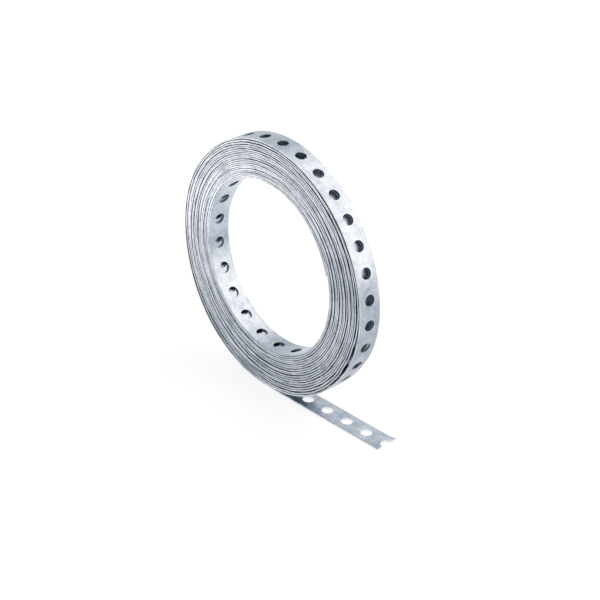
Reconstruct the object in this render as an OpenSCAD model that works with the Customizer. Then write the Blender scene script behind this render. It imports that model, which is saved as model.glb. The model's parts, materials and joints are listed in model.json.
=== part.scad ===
// A roll of perforated steel strap that stands on its rim, with its free end flat on the floor.
// The coil's axis runs along Y, the free end runs out towards +X, and the floor is at z = 0.
// The origin is on the floor under the middle of the coil. All sizes are in millimetres.

/* [Strap] */
// Width of the strap, along the coil's axis
strap_w = 12; // [9:0.5:30]
// Thickness of the steel
strap_t = 0.8; // [0.4:0.1:1.5]

/* [Holes] */
// Diameter of a punched hole
hole_d = 5.5; // [2:0.1:7]
// Distance along the strap between the middles of neighbouring holes
hole_pitch = 13; // [10:0.5:30]
// Angle on the outer turn of the hole nearest its top, from +X up over the top
top_hole_deg = 90.7; // [85:0.1:97]
// Angle on the inner turn of one of its holes, from +X up over the top
bore_hole_deg = 139.7; // [120:0.1:150]

/* [Coil] */
// Diameter of the bore inside the inner turn
bore_d = 87.2; // [60:0.1:200]
// Number of turns
turns = 20; // [6:1:30]
// Average gap between neighbouring turns
turn_gap = 0.26; // [0.2:0.01:1]
// How far each turn's middle lies towards -X from that of the turn around it
turn_shift = 0.1; // [0:0.01:0.18]
// Depth to which the gaps between turns are open on the two end faces
gap_depth = 1.5; // [0.5:0.1:3]
// Angle at which the inner turn's end lies, from +X up over the top
inner_end_deg = 20; // [0:1:60]

/* [Free end] */
// Length of strap on the floor, from under the coil's middle to the cut through a hole
tail_len = 75; // [40:0.5:300]
// Angle by which the free end turns sideways, towards +Y
tail_yaw = 4.2; // [-8:0.1:8]
// Height of the coil's lowest line above the floor, which only the free end touches
floor_gap = 0.1; // [0.05:0.01:0.3]

/* [Hidden] */
$fn = 96;
turn_pitch = strap_t + turn_gap;
coil_r = bore_d / 2 + turns * strap_t + (turns - 1) * turn_gap;
coil_z = coil_r + floor_gap;
// What a cutting shape reaches past the face that it opens
past = 1;
// Half the length of strap that lies against the coil, and the room a hole needs beside it
foot_x = sqrt(pow(coil_r, 2) - pow(coil_z - strap_t, 2));
foot_room = foot_x + hole_d / 2;
foot_deg = asin(foot_room / coil_r);
// The holes are a pitch apart along the middle of the strap's thickness
rim_step = hole_pitch / (coil_r - strap_t / 2) * 180 / PI;
bore_step = hole_pitch / (bore_d / 2 + strap_t / 2) * 180 / PI;
end_room_deg = hole_d / bore_d * 180 / PI;
tail_holes = [for (x = [tail_len : -hole_pitch : foot_room]) x];
rim_holes = angles(top_hole_deg, rim_step, foot_deg - 90, 270 - foot_deg);
bore_holes = angles(bore_hole_deg, bore_step, inner_end_deg + end_room_deg,
                    inner_end_deg + 360 - end_room_deg);

// Every angle between two limits that is a whole number of steps from a given one
function angles(start, step, low, high) =
    [for (k = [ceil((low - start) / step) : floor((high - start) / step)]) start + k * step];

// Inner radius of a turn, counted from 0 at the bore, and where its middle lies along X
function turn_r(i) = bore_d / 2 + i * turn_pitch;
function turn_x(i) = -turn_shift * (turns - 1 - i);

// A round slice of the coil, around turn i's middle
module disc(i, r, w)
    translate([turn_x(i), 0, coil_z]) rotate([90, 0, 0]) cylinder(r = r, h = w, center = true);

// The gap between turn i and the next one out, on both end faces
module gap(i)
    for (side = [-1, 1]) translate([0, side * strap_w / 2, 0])
        difference() {
            disc(i + 1, turn_r(i + 1), 2 * gap_depth);
            disc(i, turn_r(i) + strap_t, 2 * gap_depth + past);
        }

// A punched hole through turn i at an angle, between two distances from the turn's middle
module turn_hole(i, angle, r_from, r_to)
    translate([turn_x(i), 0, coil_z]) rotate([0, 90 - angle, 0])
        translate([0, 0, r_from]) cylinder(d = hole_d, h = r_to - r_from);

// The wound turns, with the punched holes of the outer and the inner turn
module coil()
    difference() {
        disc(turns - 1, coil_r, strap_w);
        disc(0, bore_d / 2, strap_w + past);
        for (i = [0 : turns - 2]) gap(i);
        for (a = rim_holes) turn_hole(turns - 1, a, coil_r - strap_t, coil_r + past);
        for (a = bore_holes) turn_hole(0, a, bore_d / 2 - past, bore_d / 2 + strap_t);
    }

// The free end on the floor, cut through the middle of its last hole
module tail()
    rotate([0, 0, tail_yaw]) difference() {
        translate([0, -strap_w / 2, 0]) cube([tail_len, strap_w, strap_t]);
        for (x = tail_holes) translate([x, 0, -past]) cylinder(d = hole_d, h = strap_t + 2 * past);
    }

module strap()
    color("silver") {
        coil();
        tail();
    }

strap();
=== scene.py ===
# %% [markdown]
# # A roll of perforated steel strap
# Galvanised strap with one row of punched holes, wound into a narrow roll that stands on its rim.
# Its free end lies flat on the floor. The whole roll is one long piece of steel, so this lesson builds
# one long mesh: a flat pattern of strap with its holes is worked out first, and then wrapped onto the
# curve that the strap follows, from its inner end to the cut at its free end.

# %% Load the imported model
import json
import math

import bpy
import numpy as np
from mathutils import Matrix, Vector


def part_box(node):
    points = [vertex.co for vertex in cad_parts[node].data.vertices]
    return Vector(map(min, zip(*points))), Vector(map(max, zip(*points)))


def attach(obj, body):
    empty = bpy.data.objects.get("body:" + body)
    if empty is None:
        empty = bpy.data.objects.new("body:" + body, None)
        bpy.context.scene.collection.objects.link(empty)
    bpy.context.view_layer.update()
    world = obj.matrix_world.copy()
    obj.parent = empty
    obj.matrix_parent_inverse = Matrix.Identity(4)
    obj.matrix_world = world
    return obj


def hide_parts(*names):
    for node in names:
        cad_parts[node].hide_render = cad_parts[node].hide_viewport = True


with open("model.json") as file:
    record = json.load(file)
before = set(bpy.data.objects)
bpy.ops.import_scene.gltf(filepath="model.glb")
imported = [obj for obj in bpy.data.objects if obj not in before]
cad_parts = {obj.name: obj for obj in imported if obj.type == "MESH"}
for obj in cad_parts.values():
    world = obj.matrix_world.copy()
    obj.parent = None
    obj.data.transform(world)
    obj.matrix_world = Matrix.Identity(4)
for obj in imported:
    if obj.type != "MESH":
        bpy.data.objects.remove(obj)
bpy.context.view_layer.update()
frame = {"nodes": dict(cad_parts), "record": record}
scene = bpy.context.scene
print("nodes:", list(frame["nodes"]))

# %% [markdown]
# ## Sizes
# Every size that the solid model holds is read from it: the bore, the strap's section, the holes and the
# places of a few of them. That way the dressed strap lies exactly where the solid one does.

# %% Read the sizes
MM = 0.001
mounts = {m["name"]: m for m in frame["record"]["mounts"]}
low, high = np.array(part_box("strap"))
bore_r = mounts["coil_bore"]["dims"]["r_mm"] * MM
bore_at = np.array(mounts["coil_bore"]["pos_m"])
strap_w = mounts["coil_bore"]["dims"]["length_mm"] * MM
strap_t = mounts["tail_hole_1"]["dims"]["length_mm"] * MM
hole_r = mounts["tail_hole_1"]["dims"]["r_mm"] * MM
tail_1, tail_2 = (np.array(mounts[n]["pos_m"]) for n in ("tail_hole_1", "tail_hole_2"))
pitch = float(np.linalg.norm(tail_1 - tail_2))
tail_len = float(np.linalg.norm(tail_1[:2])) + pitch
tail_yaw = math.atan2(tail_1[1], tail_1[0])
coil_r = -float(low[0])
coil_z = float(high[2]) - coil_r
rim_at = np.array(mounts["rim_hole_1"]["pos_m"])
rim_hole_angle = math.atan2(rim_at[2] - coil_z, rim_at[0])
print(f"coil radius {coil_r / MM:.2f} mm, bore radius {bore_r / MM:.2f} mm, hole pitch {pitch / MM:.2f} mm")

# %% [markdown]
# ## The curve that the strap follows
# Seen along the axis, the strap is a spiral that runs anticlockwise from the bore out to the floor. A
# ready-made spiral would have even gaps. A real roll doesn't: turns bunch together in one place and gape
# in another. So the radius is worked out in three steps. First comes the curve that the turns would rest
# in: near the bore they are tight and round and climb over the inner end, further out they become a looser
# spiral, and low on the right they are dented. Then each turn wanders in and out by less than half of the
# gap that is left, so that it never enters its neighbour. A part of that is a kink at every hole, where the
# strap is weakest and bends most. The outer turn is laid over them last: it starts low, lifts clear, and
# peels away just before the floor.

# %% Waves and blends
def blend(x):
    """Rise from 0 at x = 0 to 1 at x = 1 as three x squared less two x cubed, and stay level outside."""
    x = np.clip(x, 0, 1)
    return x * x * (3 - 2 * x)


def plateau(x, foot, top, far_top, far_foot):
    """0 up to foot, a smooth rise to 1 at top, level to far_top, and a smooth fall to 0 at far_foot."""
    return blend((x - foot) / (top - foot)) * blend((far_foot - x) / (far_foot - far_top))


def hump(x, start, end):
    """A squared half sine wave: up from 0 at start to 1 half-way, and back to 0 at end."""
    return np.sin(np.pi * np.clip((x - start) / (end - start), 0, 1)) ** 2


def wander(angle, speeds, push, seed):
    """A wave between -1 and 1 that doesn't repeat: sines of several speeds, pressed flat at its crests."""
    shifts = np.random.default_rng(seed).uniform(0, 2 * np.pi, len(speeds))
    waves = np.sin(np.outer(angle, speeds) + shifts)
    return np.tanh(push * waves.sum(1) / math.sqrt(len(speeds)))


print("a hump from 0 to 4, at its whole numbers:", hump(np.arange(5), 0, 4).round(2))

# %% [markdown]
# Angles on the roll start at its right side and go up over the top. A span of degrees says where a dent
# or a bulge begins and ends, and for a level one also where its level part lies.

# %% How the turns rest
TURNS = 20
FULL = 2 * math.pi
INNER_END = math.radians(20)
OUTER_END = math.radians(270) + FULL * (TURNS - 1)
LAST_TURN = OUTER_END - FULL
FOOT_GAP = 0.25 * MM
BORE_RISE = 0.7 * MM
# Share of a turn at which a step begins, and how fast steps give way to an even spiral
CLIMB_FROM = 0.65
STEPS_FADE = 1.4
TIGHTER = 0.09
DENT = 0.6 * MM
DENT_SPAN = (-38, -24, -14, -2)
PRESS = 0.8 * MM
PRESS_SPAN = (-75, -10)
DENT_GROWTH = 1.2
BULGE = 0.45 * MM
BULGE_SPAN = (-25, 0, 80, 130)
BULGE_GROWTH = 2

inner_c = bore_r + strap_t / 2
outer_c = coil_z - strap_t / 2
under_c = outer_c - strap_t - FOOT_GAP


def resting_radius(turn):
    """Radius of the turns before they wander.

    Turns are counted from the inner end, in two ways: evenly, as on a spiral, and in steps that climb in
    the last third of each turn. The count blends from the steps at the bore to the spiral outside, and a
    cubic lays the turns tighter near the bore and looser outside. To a radius that grows with the count are
    added a bore off the middle and a bulge up the right side, less two dents low on the right.
    """
    count = (turn - INNER_END) / FULL
    share = (turn - INNER_END) / (LAST_TURN - INNER_END)
    steps = np.floor(count) + blend((np.mod(count, 1) - CLIMB_FROM) / (1 - CLIMB_FROM))
    even = blend(STEPS_FADE * share)
    climbed = (even * count + (1 - even) * steps) * FULL / (LAST_TURN - INNER_END)
    climbed += TIGHTER * (climbed**3 - climbed)
    off_centre = (bore_at[0] * np.cos(turn) + BORE_RISE * np.sin(turn)) * (1 - share)
    degrees = np.degrees(np.mod(turn + math.pi / 2, FULL)) - 90
    dents = DENT * plateau(degrees, *DENT_SPAN) + PRESS * hump(degrees, *PRESS_SPAN)
    bulge = BULGE * plateau(degrees, *BULGE_SPAN)
    grown = inner_c + (under_c - inner_c) * climbed
    return grown + off_centre - dents * share**DENT_GROWTH + bulge * share**BULGE_GROWTH


print(f"{(OUTER_END - INNER_END) / FULL:.2f} turns, radius {inner_c / MM:.1f} to {outer_c / MM:.1f} mm")

# %% Let the turns wander
STEPS_PER_TURN = 480
LEAST_GAP = 0.03 * MM
TURN_SPEEDS = (0.9, 2.3, 3.7, 5.3, 7.1)
TURN_PUSH = 2.0
WAVE_SHARE = 0.27
KINK_SHARE = 0.2
# Radians over which the turns settle, before the outer turn and after the inner one
CALM_OUTSIDE = 0.7
CALM_INSIDE = 1.5

turn = np.linspace(INNER_END, OUTER_END, (TURNS + 1) * STEPS_PER_TURN)
resting = resting_radius(turn)
slack = resting_radius(turn + FULL) - resting - strap_t - LEAST_GAP
settle = blend((LAST_TURN - turn) / CALM_OUTSIDE) * blend((turn - INNER_END - FULL) / CALM_INSIDE)
wound = np.cumsum(resting) * (turn[1] - turn[0])
kinks = np.cos(2 * np.pi * wound / pitch)
waves = wander(turn, TURN_SPEEDS, TURN_PUSH, seed=3)
loose = slack * settle * (WAVE_SHARE * waves + KINK_SHARE * kinks)
print(f"room to wander between turns: {slack.min() / MM:.2f} to {slack.max() / MM:.2f} mm")

# %% The outer turn
LIFT_SPAN = (-50, 2)
PEEL = 0.8 * MM
PEEL_SPAN = (190, 270)
FLAT_SHOULDER = 0.5 * MM
SHOULDER_SPAN = (80, 170)

outer_degrees = np.degrees(turn - LAST_TURN) - 90
lift = blend((outer_degrees - LIFT_SPAN[0]) / (LIFT_SPAN[1] - LIFT_SPAN[0]))
outer_turn = under_c + (outer_c - under_c) * lift - PRESS * hump(outer_degrees, *PRESS_SPAN)
outer_turn += PEEL * hump(outer_degrees, *PEEL_SPAN) - FLAT_SHOULDER * hump(outer_degrees, *SHOULDER_SPAN)
radius = np.where(turn < LAST_TURN, resting + loose, outer_turn)
spiral_x = radius * np.cos(turn)
spiral_z = coil_z + radius * np.sin(turn)
print(f"the roll reaches {spiral_x.min() / MM:.2f} to {spiral_x.max() / MM:.2f} mm along x")

# %% [markdown]
# The free end goes on from the foot of the spiral, flat on the floor, and turns a little sideways. The
# sideways path is a soft bend: nothing on the roll, a straight slant on the floor, and a smooth change
# between them. The turns also wander a fraction of a millimetre along the axis, so that some edges stand
# proud of their neighbours on the roll's two faces.

# %% Add the free end, and measure along the whole strap
FLAT_STEPS = 120
BEND = 8 * MM
EDGE_WANDER = 0.3 * MM
EDGE_SPEEDS = (0.41, 1.13, 2.2, 3.4)
EDGE_PUSH = 1.2
OUTER_DRIFT = 0.8 * MM


def then_flat(values):
    """Values on the roll, followed by 0 on the free end."""
    return np.r_[values, np.zeros(FLAT_STEPS)]


flat_x = np.linspace(0, tail_len * math.cos(tail_yaw), FLAT_STEPS + 1)[1:]
plan_x = np.r_[spiral_x, flat_x]
plan_z = np.r_[spiral_z, np.full(FLAT_STEPS, strap_t / 2)]
along_plan = np.r_[0, np.cumsum(np.hypot(np.diff(plan_x), np.diff(plan_z)))]
from_foot = along_plan - along_plan[len(turn) - 1]
sideways = math.tan(tail_yaw) * BEND * np.logaddexp(0, from_foot / BEND)
drift = EDGE_WANDER * wander(turn, EDGE_SPEEDS, EDGE_PUSH, seed=11) * settle
drift += OUTER_DRIFT * hump(outer_degrees, *SHOULDER_SPAN)
plan_y = sideways + then_flat(drift)
along = np.r_[0, np.cumsum(np.hypot(np.diff(along_plan), np.diff(plan_y)))]
length = along[-1]
print(f"strap length {length:.3f} m")

# %% [markdown]
# To carry a section along this path, three directions are needed at each of its points: along the strap,
# across it and out of the coil. Low on the right, where nothing holds it, the outer turn leans: its far
# edge dips towards the coil. So there the last two are turned about the first.

# %% Directions along the path
LEAN = math.radians(3.5)
LEAN_SPAN = (-70, -2)

path = np.c_[plan_x, plan_y, plan_z]
run_x, run_z = np.gradient(plan_x, along_plan), np.gradient(plan_z, along_plan)
run_size = np.hypot(run_x, run_z)
run_x, run_z = run_x / run_size, run_z / run_size
turned = np.arctan(np.gradient(plan_y, along_plan))
out_level = np.c_[run_z, np.zeros_like(run_z), -run_x]
across_level = np.c_[-np.sin(turned) * run_x, np.cos(turned), -np.sin(turned) * run_z]
lean = then_flat(LEAN * hump(outer_degrees, *LEAN_SPAN))[:, None]
across = across_level * np.cos(lean) - out_level * np.sin(lean)
out_of_coil = out_level * np.cos(lean) + across_level * np.sin(lean)
print(f"the free end turns {math.degrees(turned[-1]):.1f} degrees sideways")

# %% [markdown]
# ## Where the holes are
# The holes are punched at one pitch. Those of the free end and of the outer turn are read from the solid
# model. The places of the holes that show on the inner turn, and of those that show behind them, are set by
# one angle each. So are those of the two turns beneath the outer one: the first has its holes under the
# outer turn's, so that one looks down through both, and the second closes them. The holes of the stretches
# between fill them with the whole number of pitches that comes nearest.

# %% Ways to place a row of holes
def at_angle(angle):
    """Length along the strap at an angle of the spiral, read off the path between its points."""
    return np.interp(angle, turn, along[: len(turn)])


def anchored(angle, before, after):
    """Stations a pitch apart, one of them at an angle, over a stretch of degrees before and after it."""
    start, middle, end = at_angle(angle + np.radians([-before, 0, after]))
    first = math.ceil((start - middle) / pitch)
    last = math.floor((end - middle) / pitch)
    return middle + pitch * np.arange(first, last + 1)


def joined(groups):
    """Groups of stations in order, with even stations near a pitch apart between one group and the next."""
    found = [groups[0]]
    for group in groups[1:]:
        gap = group[0] - found[-1][-1]
        count = max(int(round(gap / pitch)), 1)
        found.append(found[-1][-1] + gap / count * np.arange(1, count))
        found.append(group)
    return np.concatenate(found)


print(f"the spiral ends {at_angle(OUTER_END):.3f} m along the strap")

# %% Stations of the holes along the strap
BORE_HOLE = math.radians(140.6)
BORE_STRETCH = (110, 160)
BEHIND_BORE = math.radians(154.4) + FULL
BEHIND_STRETCH = (70, 120)
BEHIND_RIM = math.radians(32.6) + FULL * (TURNS - 2)
BELOW_THAT = math.radians(38.5) + FULL * (TURNS - 3)
RIM_STRETCH = (90, 90)
FOOT_ROOM = math.radians(11.6)
TAIL_HOLES = 6

rim_step = pitch / (coil_r - strap_t / 2)
first_step = math.ceil((FOOT_ROOM - math.pi / 2 - rim_hole_angle) / rim_step)
last_step = math.floor((1.5 * math.pi - FOOT_ROOM - rim_hole_angle) / rim_step)
rim_angles = rim_hole_angle + rim_step * np.arange(first_step, last_step + 1) + FULL * (TURNS - 1)
stations = joined([
    anchored(BORE_HOLE, *BORE_STRETCH),
    anchored(BEHIND_BORE, *BEHIND_STRETCH),
    anchored(BELOW_THAT, *RIM_STRETCH),
    anchored(BEHIND_RIM, *RIM_STRETCH),
    at_angle(rim_angles),
    length - pitch * np.arange(TAIL_HOLES)[::-1],
])
print(f"{len(stations)} holes, {len(rim_angles)} of them on the outer turn")

# %% [markdown]
# ## The flat pattern of one pitch
# A strip with a round hole could be cut with a boolean, but a boolean leaves uneven faces. Here each pitch
# is a ring of quads instead: 24 points on the hole's edge, joined to 24 points on the border of the piece
# of strap around it. Eight such rings, one behind the other, go once round the steel's section: the
# strap's side, its outer face, the wall of the hole, its inner face, and the side again.

# %% Rings of one pitch
SIDE_POINTS = 6
RING = 4 * SIDE_POINTS
EDGE = 0.07 * MM
LIP = 0.10 * MM
SIDE_OUT, FACE_OUT, LIP_OUT, WALL_OUT, WALL_IN, LIP_IN, FACE_IN, SIDE_IN = range(8)
BORDER_RINGS = (SIDE_OUT, FACE_OUT, FACE_IN, SIDE_IN)
HOLE_RINGS = (LIP_OUT, WALL_OUT, WALL_IN, LIP_IN)
RINGS = len(BORDER_RINGS) + len(HOLE_RINGS)

steps = np.arange(SIDE_POINTS) / SIDE_POINTS
ones = np.ones(SIDE_POINTS)
border_s = np.r_[steps, ones, 1 - steps, 0 * ones]
border_w = np.r_[-ones, 2 * steps - 1, ones, 1 - 2 * steps]
round_angle = -0.75 * math.pi + 2 * math.pi * np.arange(RING) / RING


def flat_pattern():
    """Places on the flat strap of every ring point of every pitch, as length, width and height.

    A border point lies a share of the way between the two mid-lines around its hole, and a hole point on a
    circle of the hole's radius around the station. Heights step round the section.
    """
    before = np.r_[0, (stations[1:] + stations[:-1]) / 2]
    after = np.r_[before[1:], 2 * length - before[-1]]
    border = before[:, None] + (after - before)[:, None] * border_s
    half_w, half_t = strap_w / 2, strap_t / 2
    s, w, h = np.empty((3, len(stations), RINGS, RING))
    for ring, reach in zip(BORDER_RINGS, (half_w, half_w - EDGE, half_w - EDGE, half_w)):
        s[:, ring] = border
        w[:, ring] = reach * border_w
    for ring, r in zip(HOLE_RINGS, (hole_r + LIP, hole_r, hole_r, hole_r + LIP)):
        s[:, ring] = stations[:, None] + r * np.cos(round_angle)
        w[:, ring] = r * np.sin(round_angle)
    outer_heights = np.array([half_t - EDGE, half_t, half_t, half_t - LIP])
    h[:] = np.r_[outer_heights, -outer_heights[::-1]][:, None]
    return s, w, h


flat_s, flat_w, flat_h = flat_pattern()
print("points on the flat strap:", flat_s.size)

# %% [markdown]
# ## Wrapping the pattern onto the curve
# Each flat point moves to the curve at its own length, then across the strap by its width and out of the
# coil by its height. All points move at once, as arrays. The snips that cut the free end off bent its far
# corner up.

# %% Wrap the points
SNIP_REACH = 4 * MM
SNIP_LIFT = 0.6 * MM


def on_curve(values, s):
    """A vector of the path at every length s, read off between the path's points for each coordinate."""
    return np.stack([np.interp(s, along, values[:, k]) for k in range(3)], -1)


def unit(v):
    """Vectors divided by their own lengths."""
    return v / np.linalg.norm(v, axis=-1, keepdims=True)


out_dir = unit(on_curve(out_of_coil, flat_s))
across_dir = unit(on_curve(across, flat_s))
run_dir = np.cross(out_dir, across_dir)
points = on_curve(path, flat_s) + across_dir * flat_w[..., None] + out_dir * flat_h[..., None]
from_snip = blend((flat_s - length + SNIP_REACH) / SNIP_REACH)
points[..., 2] += SNIP_LIFT * from_snip * blend(2 * flat_w / strap_w)
print("the wrapped strap is", np.ptp(points.reshape(-1, 3), axis=0).round(4), "m")

# %% [markdown]
# Normals are worked out rather than left to averaging: a face's normal is the curve's own, and a hole's
# wall looks towards the hole's middle, so the narrow lips between them shade as rounded edges.

# %% Normals of the wrapped points
sides = (SIDE_OUT, SIDE_IN)
walls = (WALL_OUT, WALL_IN)
along_hole = run_dir[:, walls] * np.cos(round_angle)[:, None]
across_hole = across_dir[:, walls] * np.sin(round_angle)[:, None]

normals = np.empty_like(points)
normals[:, (FACE_OUT, LIP_OUT)] = out_dir[:, (FACE_OUT, LIP_OUT)]
normals[:, (FACE_IN, LIP_IN)] = -out_dir[:, (FACE_IN, LIP_IN)]
normals[:, sides] = across_dir[:, sides] * np.sign(flat_w[:, sides])[..., None]
normals[:, walls] = -(along_hole + across_hole)
print("normals:", normals.size // 3)

# %% [markdown]
# ## Faces
# Neighbouring pitches share the points of their common border, so the mesh has no seam along the strap.
# The last pitch is cut through the middle of its hole, as the strap was snipped there, and both ends are
# closed.

# %% Number the points
LEFT_BORDER = np.arange(3 * SIDE_POINTS, 4 * SIDE_POINTS + 1) % RING
RIGHT_BORDER = np.arange(2 * SIDE_POINTS, SIDE_POINTS - 1, -1)


def shared_index(count):
    """Number every point, and give each pitch's left border the numbers of its neighbour's right one."""
    index = np.arange(count * RINGS * RING).reshape(count, RINGS, RING)
    shared = index.copy()
    for ring in BORDER_RINGS:
        shared[1:, ring, LEFT_BORDER] = index[:-1, ring, RIGHT_BORDER]
    return shared


numbers = shared_index(len(stations))
print("different points:", len(np.unique(numbers)))

# %% Join the rings into quads
everywhere = np.arange(RING)
long_sides = np.r_[np.arange(SIDE_POINTS), np.arange(2 * SIDE_POINTS, 3 * SIDE_POINTS)]
cut_half = np.arange(5 * SIDE_POINTS // 2, 9 * SIDE_POINTS // 2) % RING
face_rings = ((FACE_OUT, LIP_OUT), (LIP_IN, FACE_IN))
edge_rings = ((LIP_OUT, WALL_OUT), (WALL_OUT, WALL_IN), (WALL_IN, LIP_IN))
side_rings = ((SIDE_OUT, FACE_OUT), (FACE_IN, SIDE_IN), (SIDE_IN, SIDE_OUT))


def quads_between(pitches, ring, after, places):
    """Quads from one ring to the next, at the given places round the ring."""
    a, b = pitches[:, ring], pitches[:, after]
    nxt = (places + 1) % RING
    return np.stack([b[:, places], b[:, nxt], a[:, nxt], a[:, places]], -1).reshape(-1, 4)


def all_quads(pairs, places):
    """Quads of whole pitches, and of the half pitch that is left of the last one."""
    left_of_cut = np.intersect1d(places, cut_half)
    whole = [quads_between(numbers[:-1], a, b, places) for a, b in pairs]
    half = [quads_between(numbers[-1:], a, b, left_of_cut) for a, b in pairs]
    return np.concatenate(whole + half)


face_quads = all_quads(face_rings, everywhere)
edge_quads = np.concatenate([all_quads(edge_rings, everywhere), all_quads(side_rings, long_sides)])
print(f"{len(face_quads)} face quads, {len(edge_quads)} edge quads")

# %% Close the ends
near, far = SIDE_POINTS // 2, 5 * SIDE_POINTS // 2
inner_cap = np.r_[
    numbers[0, FACE_OUT, LEFT_BORDER],
    numbers[0, (SIDE_OUT, SIDE_IN), LEFT_BORDER[-1]],
    numbers[0, FACE_IN, LEFT_BORDER[::-1]],
    numbers[0, (SIDE_IN, SIDE_OUT), LEFT_BORDER[0]],
]
caps = [inner_cap, numbers[-1, :, near], numbers[-1, ::-1, far]]
cap_corners = sum(len(cap) for cap in caps)
print("corners of the three end faces:", [len(cap) for cap in caps])

# %% [markdown]
# ## The mesh
# Only points that a face uses are kept. Quads of the zinc faces come first, then those of the cut edges,
# then the closed ends, which count as cut edges.

# %% Build the strap
FACES, EDGES = 0, 1

quads = np.concatenate([face_quads, edge_quads])
corner_points = np.r_[quads.ravel(), np.concatenate(caps)]
used, corners = np.unique(corner_points, return_inverse=True)
sizes = np.r_[np.full(len(quads), 4), [len(cap) for cap in caps]]
slots = np.where(np.arange(len(sizes)) < len(face_quads), FACES, EDGES)


def strap_mesh(name):
    """Put the points, the corners of the faces and their material numbers into a mesh, as whole arrays."""
    mesh = bpy.data.meshes.new(name)
    mesh.vertices.add(len(used))
    mesh.vertices.foreach_set("co", points.reshape(-1, 3)[used].astype(np.float32).ravel())
    mesh.loops.add(len(corners))
    mesh.loops.foreach_set("vertex_index", corners.astype(np.int32))
    mesh.polygons.add(len(sizes))
    mesh.polygons.foreach_set("loop_start", np.r_[0, np.cumsum(sizes)[:-1]].astype(np.int32))
    mesh.polygons.foreach_set("material_index", slots.astype(np.int32))
    return mesh


steel = strap_mesh("perforated_strap")
print(f"{len(used)} points, {len(corners) - 2 * len(sizes)} triangles")

# %% [markdown]
# The strap's length and width go into a UV map, in units of 100 mm, so that the marks of rolling can follow
# the strap round the coil. Each point also stores its place through the thickness, from -1 on the inner
# face to 1 on the outer one, for the marks of the shears. A second value tells the walls of the holes from
# the rest: 1 on those in the coil, -1 on those in the free end, and 0 elsewhere.

# %% Store the UV map, the marks and the normals
STRIP_MAP = "strap_length"
UV_UNIT = 100 * MM


def store(mesh, name, values):
    """Keep one value for each point that the mesh uses."""
    attribute = mesh.attributes.new(name, "FLOAT", "POINT")
    attribute.data.foreach_set("value", values.ravel()[used].astype(np.float32))


# This value tells the edge finish where to paint shade (walls of the coil's holes) and a highlight (walls
# of the free end's holes)
on_wall = np.zeros_like(flat_h)
on_wall[:, HOLE_RINGS] = 1
on_wall[-TAIL_HOLES:] *= -1
flat_places = np.stack([flat_s, flat_w + flat_h], -1).reshape(-1, 2) / UV_UNIT
corner_normals = normals.reshape(-1, 3)[corner_points]
end_normals = run_dir.reshape(-1, 3)[corner_points[-cap_corners:]]
end_normals[: len(inner_cap)] *= -1
corner_normals[-cap_corners:] = end_normals

strip_map = steel.uv_layers.new(name=STRIP_MAP)
strip_map.data.foreach_set("uv", flat_places[corner_points].astype(np.float32).ravel())
store(steel, "through", flat_h / (strap_t / 2))
store(steel, "punched", on_wall)
steel.update(calc_edges=True)
steel.normals_split_custom_set(unit(corner_normals))
print("UV maps of the strap:", [layer.name for layer in steel.uv_layers])

# %% [markdown]
# The mesh becomes one object that stays with the roll's only body and takes the place of the solid strap.

# %% Put the strap in the scene
strap = bpy.data.objects.new("perforated_strap", steel)
scene.collection.objects.link(strap)
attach(strap, "root")
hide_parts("strap")
print("placed:", strap.name)

# %% [markdown]
# ## Galvanised steel
# Zinc sets on steel as a quilt of faint crystals, with cloudy patches and fine marks along the strap from
# the rollers. The same quilt shows on the faces and, more weakly, on the cut edges, so it is one node group
# with its own strength in each material.

# %% Node helpers
MOST_NOISE = (0.3, 0.7)
NOISE_ROUGHNESS = 0.55


def add_node(tree, kind, inputs=None, **settings):
    """Add a node, set its properties, and link or set its inputs by name or number."""
    node = tree.nodes.new(kind)
    for key, value in settings.items():
        setattr(node, key, value)
    for key, value in (inputs or {}).items():
        if isinstance(value, bpy.types.NodeSocket):
            tree.links.new(value, node.inputs[key])
        else:
            node.inputs[key].default_value = value
    return node


def math_node(tree, operation, a, b=0.0):
    """One sum, product or other step of arithmetic on two values."""
    return add_node(tree, "ShaderNodeMath", {0: a, 1: b}, operation=operation).outputs[0]


def spread(tree, value, before, after):
    """Map a value from one range, low and high, onto another, and keep to that range outside."""
    inputs = {"Value": value, "From Min": before[0], "From Max": before[1]}
    inputs.update({"To Min": after[0], "To Max": after[1]})
    return add_node(tree, "ShaderNodeMapRange", inputs).outputs["Result"]


def noise(tree, vector, scale, detail):
    """Cloudy values around 0.5."""
    inputs = {"Vector": vector, "Scale": scale, "Detail": detail, "Roughness": NOISE_ROUGHNESS}
    return add_node(tree, "ShaderNodeTexNoise", inputs).outputs["Fac"]


def along_strap(tree):
    """Length and width on the strap, from its UV map."""
    return add_node(tree, "ShaderNodeUVMap", uv_map=STRIP_MAP).outputs["UV"]


print("most noise values lie between", MOST_NOISE[0], "and", MOST_NOISE[1])

# %% The zinc quilt
CRYSTALS_PER_M = 420.0
CRYSTAL_TONE = 0.2
GRAINS_PER_M = 600.0
GRAIN_TONE = 0.18
CLOUDS_PER_M = 90.0
CLOUD_TONE = 0.4
ROLLER_MARKS = (6.0, 260.0, 1.0)
MARK_TONE = 0.2


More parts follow.
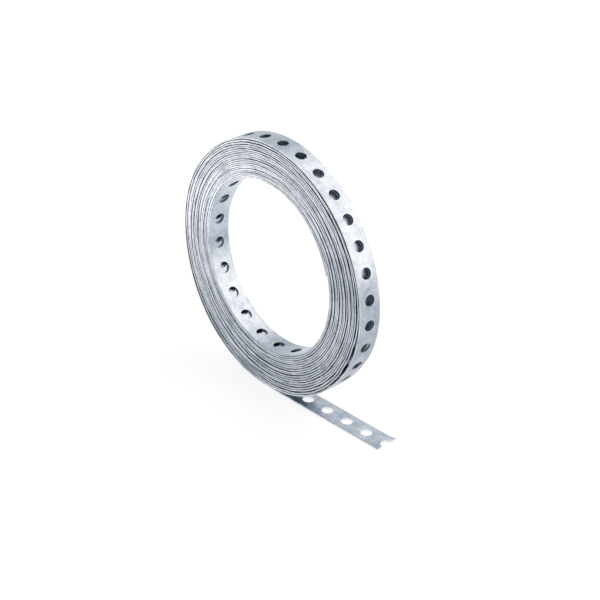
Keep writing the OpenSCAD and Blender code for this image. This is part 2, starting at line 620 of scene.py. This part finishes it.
def zinc_group():
    """Crystals, grain, clouds and roller marks, summed to a tone around 0, a gloss and a height."""
    tree = bpy.data.node_groups.new("zinc_quilt", "ShaderNodeTree")
    tree.interface.new_socket("Strength", in_out="INPUT", socket_type="NodeSocketFloat")
    for name in ("Tone", "Gloss", "Height"):
        tree.interface.new_socket(name, in_out="OUTPUT", socket_type="NodeSocketFloat")
    strength = add_node(tree, "NodeGroupInput").outputs["Strength"]
    place = add_node(tree, "ShaderNodeTexCoord").outputs["Object"]
    cells = add_node(tree, "ShaderNodeTexVoronoi", {"Vector": place, "Scale": CRYSTALS_PER_M})
    crystal = add_node(tree, "ShaderNodeSeparateColor", {"Color": cells.outputs["Color"]}).outputs["Red"]
    grain = noise(tree, place, GRAINS_PER_M, detail=3.0)
    cloud = noise(tree, place, CLOUDS_PER_M, detail=4.0)
    stretched = add_node(tree, "ShaderNodeMapping", {"Vector": along_strap(tree), "Scale": ROLLER_MARKS})
    marks = noise(tree, stretched.outputs["Vector"], 1.0, detail=3.0)
    crystal_tone = spread(tree, crystal, (0, 1), (-CRYSTAL_TONE, CRYSTAL_TONE))
    grain_tone = spread(tree, grain, MOST_NOISE, (-GRAIN_TONE, GRAIN_TONE))
    cloud_tone = spread(tree, cloud, MOST_NOISE, (-CLOUD_TONE, CLOUD_TONE))
    mark_tone = spread(tree, marks, MOST_NOISE, (-MARK_TONE, MARK_TONE))
    gloss = math_node(tree, "ADD", crystal_tone, cloud_tone)
    total = math_node(tree, "ADD", gloss, math_node(tree, "ADD", grain_tone, mark_tone))
    tone = math_node(tree, "MULTIPLY", total, strength)
    height = math_node(tree, "ADD", cloud, marks)
    add_node(tree, "NodeGroupOutput", {"Tone": tone, "Gloss": gloss, "Height": height})
    return tree


zinc = zinc_group()
print("zinc quilt nodes:", len(zinc.nodes))

# %% [markdown]
# Both finishes are metal with the quilt on it, so they start from the same few nodes: a metal shader, the
# quilt at some strength, and its height as a shallow relief.

# %% Ways to build a finish
RELIEF_HEIGHT = 0.2 * MM


def new_metal(name, quilt_strength, relief_strength):
    """A material with a metal shader, and the quilt's height as a bump on the shader's normal."""
    material = bpy.data.materials.new(name)
    material.use_nodes = True
    tree = material.node_tree
    tree.nodes.clear()
    metal = add_node(tree, "ShaderNodeBsdfPrincipled", {"Metallic": 1.0})
    add_node(tree, "ShaderNodeOutputMaterial", {"Surface": metal.outputs["BSDF"]})
    quilt = add_node(tree, "ShaderNodeGroup", {"Strength": quilt_strength}, node_tree=zinc).outputs
    bump = {"Height": quilt["Height"], "Strength": relief_strength, "Distance": RELIEF_HEIGHT}
    relief = add_node(tree, "ShaderNodeBump", bump).outputs["Normal"]
    tree.links.new(relief, metal.inputs["Normal"])
    return material, tree, metal, quilt


def colour_between(tree, value, dark, light):
    """A colour from dark at value 0 to light at value 1."""
    ramp = add_node(tree, "ShaderNodeValToRGB", {"Fac": value})
    ramp.color_ramp.elements[0].color = (*dark, 1)
    ramp.color_ramp.elements[1].color = (*light, 1)
    return ramp.outputs["Color"]


def mixed_colour(tree, share, first, second):
    """The first colour at share 0, the second at share 1. Sockets 6 and 7 of the mix node take colours."""
    mix = add_node(tree, "ShaderNodeMix", {0: share, 6: first, 7: second}, data_type="RGBA")
    return mix.outputs[2]


print(f"the quilt stands up to {RELIEF_HEIGHT / MM:.1f} mm proud in the shading")

# %% [markdown]
# The faces keep their zinc, so they are blue-grey and satin.

# %% The faces
ZINC_DARK = (0.27, 0.33, 0.40)
ZINC_LIGHT = (0.49, 0.55, 0.62)
ZINC_ROUGHNESS = (0.26, 0.42)
MIDDLE_TONE = 0.5


def zinc_face():
    """Blue-grey by the quilt's tone around the middle, and rougher where the quilt is lighter."""
    material, tree, metal, quilt = new_metal("zinc_face", quilt_strength=1.0, relief_strength=0.2)
    tone = math_node(tree, "ADD", quilt["Tone"], MIDDLE_TONE)
    rough = spread(tree, quilt["Gloss"], (-0.5, 0.5), ZINC_ROUGHNESS)
    tree.links.new(colour_between(tree, tone, ZINC_DARK, ZINC_LIGHT), metal.inputs["Base Color"])
    tree.links.new(rough, metal.inputs["Roughness"])
    return material


steel.materials.append(zinc_face())
print("finish of the faces:", steel.materials[FACES].name)

# %% [markdown]
# The edges were slit and the holes punched after the zinc was on. Shears leave two bands on a cut: a bright
# burnished one where the blade entered, and a rough, darker one where the steel tore. The bands come from
# the place through the thickness, with a wavy border, and each edge is lighter and darker along its length,
# because the zinc smeared over it in places. The walls of the holes in the coil are coloured dark: painted
# shade for the shade inside the holes. Those of the free end are coloured light: a painted highlight.

# %% The cut edges
SLIT_DARK = (0.33, 0.38, 0.44)
SLIT_LIGHT = (0.80, 0.83, 0.88)
# Painted shade: dark colours for the walls of the coil's holes, standing in for the shade inside them
HOLE_SHADE_DARK = (0.14, 0.18, 0.18)
HOLE_SHADE_LIGHT = (0.30, 0.35, 0.35)
SMEARS_PER_UNIT = 9.0
SMEARED = (0.0, 0.5)
BORDER_WAVES_PER_UNIT = 60.0
BORDER_RANGE = (-0.5, 0.3)
BORDER_BLUR = (-0.15, 0.15)
BURNISHED = (0.0, 0.35)
EDGE_ROUGHNESS = (0.55, 0.34)


def cut_edge():
    """Steel as bright as burnish, smear, quilt and the free end's painted highlight add up to, or painted
    shade in the coil's holes.
    """
    material, tree, metal, quilt = new_metal("cut_edge", quilt_strength=0.5, relief_strength=0.3)
    through = add_node(tree, "ShaderNodeAttribute", attribute_name="through").outputs["Fac"]
    punched = add_node(tree, "ShaderNodeAttribute", attribute_name="punched").outputs["Fac"]
    strip = along_strap(tree)
    smear = spread(tree, noise(tree, strip, SMEARS_PER_UNIT, detail=5.0), MOST_NOISE, SMEARED)
    border = spread(tree, noise(tree, strip, BORDER_WAVES_PER_UNIT, detail=2.0), MOST_NOISE, BORDER_RANGE)
    burnish = spread(tree, math_node(tree, "SUBTRACT", through, border), BORDER_BLUR, BURNISHED)
    # Painted highlight: the walls of the free end's holes are pushed to the light end of the steel colour
    free_end_highlight = math_node(tree, "MAXIMUM", math_node(tree, "MULTIPLY", punched, -1.0), 0.0)
    bright = math_node(tree, "ADD", math_node(tree, "ADD", burnish, smear), quilt["Tone"])
    bright = math_node(tree, "ADD", bright, free_end_highlight)
    slit = colour_between(tree, bright, SLIT_DARK, SLIT_LIGHT)
    # Painted shade on the walls of the coil's holes
    painted_hole_shade = colour_between(tree, bright, HOLE_SHADE_DARK, HOLE_SHADE_LIGHT)
    tree.links.new(mixed_colour(tree, punched, slit, painted_hole_shade), metal.inputs["Base Color"])
    tree.links.new(spread(tree, burnish, BURNISHED, EDGE_ROUGHNESS), metal.inputs["Roughness"])
    return material


steel.materials.append(cut_edge())
print("finish of the edges:", steel.materials[EDGES].name)

# %% [markdown]
# ## The camera
# The photograph looks down on the roll from the front right, through a long lens. The camera stands where
# the hole centres and edges of the roll line up with those in the photograph.

# %% Place the camera
CAMERA_AZIMUTH = math.radians(48.37)
CAMERA_HEIGHT_ANGLE = math.radians(30.19)
CAMERA_ROLL = math.radians(2.42)
CAMERA_AT = (0.8656, -0.7553, 0.7146)
LENS_MM = 167.4
SENSOR_MM = 36.0
NEAREST = 0.05


def placed(side, top, back, at):
    """The matrix whose columns are an object's own x, y and z directions and its place."""
    matrix = np.eye(4)
    matrix[:3] = np.c_[side, top, back, at]
    return Matrix(matrix.tolist())


level = math.cos(CAMERA_HEIGHT_ANGLE)
back = np.array([math.sin(CAMERA_AZIMUTH) * level, -math.cos(CAMERA_AZIMUTH) * level,
                 math.sin(CAMERA_HEIGHT_ANGLE)])
right = np.array([math.cos(CAMERA_AZIMUTH), math.sin(CAMERA_AZIMUTH), 0.0])
up = np.cross(back, right)
roll_cos, roll_sin = math.cos(CAMERA_ROLL), math.sin(CAMERA_ROLL)
rolled_right = roll_cos * right + roll_sin * up
rolled_up = roll_cos * up - roll_sin * right

camera_data = bpy.data.cameras.new("camera")
camera_data.lens = LENS_MM
camera_data.sensor_width = SENSOR_MM
camera_data.clip_start = NEAREST
camera = bpy.data.objects.new("camera", camera_data)
camera.matrix_world = placed(rolled_right, rolled_up, back, CAMERA_AT)
scene.collection.objects.link(camera)
scene.camera = camera
print("camera lens:", LENS_MM, "mm")

# %% [markdown]
# ## Floor and light
# A pale floor and a white surround, as in a product photograph. Both show white to the camera and in
# reflections. A Light Path node tells those rays from the ones that spread light, so that what is seen and
# what lights the roll can differ.

# %% White surround
WHITE = (1, 1, 1, 1)
SURROUND = (0.99, 0.995, 1.0, 1)


def seen_directly(tree):
    """1 for rays from the camera, in a reflection or through glass, and 0 for rays that spread light."""
    rays = add_node(tree, "ShaderNodeLightPath").outputs
    either = math_node(tree, "MAXIMUM", rays["Is Camera Ray"], rays["Is Glossy Ray"])
    return math_node(tree, "MAXIMUM", either, rays["Is Transmission Ray"])


def white_world():
    """A surround that is pure white where it is seen, and a trace cooler where it lights the scene."""
    world = bpy.data.worlds.new("studio")
    world.use_nodes = True
    tree = world.node_tree
    tree.nodes.clear()
    light = add_node(tree, "ShaderNodeBackground", {"Color": SURROUND, "Strength": 1.0}).outputs[0]
    white = add_node(tree, "ShaderNodeBackground", {"Color": WHITE, "Strength": 1.0}).outputs[0]
    mix = add_node(tree, "ShaderNodeMixShader", {0: seen_directly(tree), 1: light, 2: white})
    add_node(tree, "ShaderNodeOutputWorld", {"Surface": mix.outputs[0]})
    return world


scene.view_settings.view_transform = "Standard"
scene.world = white_world()
print("surround:", scene.world.name)

# %% [markdown]
# A floor that is only white would lose the shadow under the roll. So it keeps a part of its own shading
# where it is seen, and the soft shadow stays.

# %% Pale floor
FLOOR_SIZE = 6.0
FLOOR_COLOUR = (0.98, 0.98, 0.98, 1)
SHADE_SHARE = 0.22


def pale_floor():
    """A square of matt floor, mixed with plain white light by one less the share of shading it keeps."""
    material = bpy.data.materials.new("pale_floor")
    material.use_nodes = True
    tree = material.node_tree
    tree.nodes.clear()
    matt = add_node(tree, "ShaderNodeBsdfDiffuse", {"Color": FLOOR_COLOUR}).outputs[0]
    white = add_node(tree, "ShaderNodeEmission", {"Color": WHITE, "Strength": 1.0}).outputs[0]
    share = math_node(tree, "MULTIPLY", seen_directly(tree), 1 - SHADE_SHARE)
    mix = add_node(tree, "ShaderNodeMixShader", {0: share, 1: matt, 2: white})
    add_node(tree, "ShaderNodeOutputMaterial", {"Surface": mix.outputs[0]})
    half = FLOOR_SIZE / 2
    floor_corners = [(-half, -half, 0), (half, -half, 0), (half, half, 0), (-half, half, 0)]
    mesh = bpy.data.meshes.new("floor")
    mesh.from_pydata(floor_corners, [], [(0, 1, 2, 3)])
    mesh.materials.append(material)
    return bpy.data.objects.new("floor", mesh)


floor = pale_floor()
scene.collection.objects.link(floor)
print("floor:", FLOOR_SIZE, "m square")

# %% [markdown]
# Satin metal is lit by what it mirrors. A wide panel behind the roll is mirrored in the right of its rim
# and low on the left in its bore, and gives both their bright stretches. A small one higher up carries the
# rim's stretch on towards the top. A strip low on the left brightens that side of the roll's face, and a
# card on the floor behind the roll is mirrored in the left of the bore. None of them shows to the camera.

# %% Lamps
WARM = (1.0, 0.81, 0.68)
SOFT_WARM = (1.0, 0.92, 0.86)
CARD_WHITE = (1.0, 0.95, 0.92)
MIDDLE = np.array([0, 0, coil_z])


def soft_lamp(name, at, aim, size, watts, colour):
    """A lamp panel at a place, turned so that its back points away from the point that it aims at."""
    data = bpy.data.lights.new(name, "AREA")
    data.shape = "RECTANGLE"
    data.size, data.size_y = size
    data.energy = watts
    data.color = colour
    lamp = bpy.data.objects.new(name, data)
    lamp.visible_camera = False
    scene.collection.objects.link(lamp)
    away = unit(np.array(at) - np.array(aim))
    side = unit(np.cross((0, 0, 1), away))
    lamp.matrix_world = placed(side, np.cross(away, side), away, at)


soft_lamp("panel_behind", (0.41, 0.60, 0.55), (0.41, 0, 0.55), size=(1.48, 1.05), watts=9.0, colour=WARM)
soft_lamp("panel_high", (-0.45, 0.60, 0.93), (-0.45, 0, 0.93), size=(0.24, 0.34), watts=0.47, colour=WARM)
soft_lamp("panel_left", (-0.14, -0.075, 0.012), MIDDLE, size=(0.18, 0.06), watts=0.040, colour=SOFT_WARM)
soft_lamp("card_behind", (-0.03, 0.095, 0.01), (-0.03, 0.06, 0.2), size=(0.18, 0.09), watts=0.028,
          colour=CARD_WHITE)
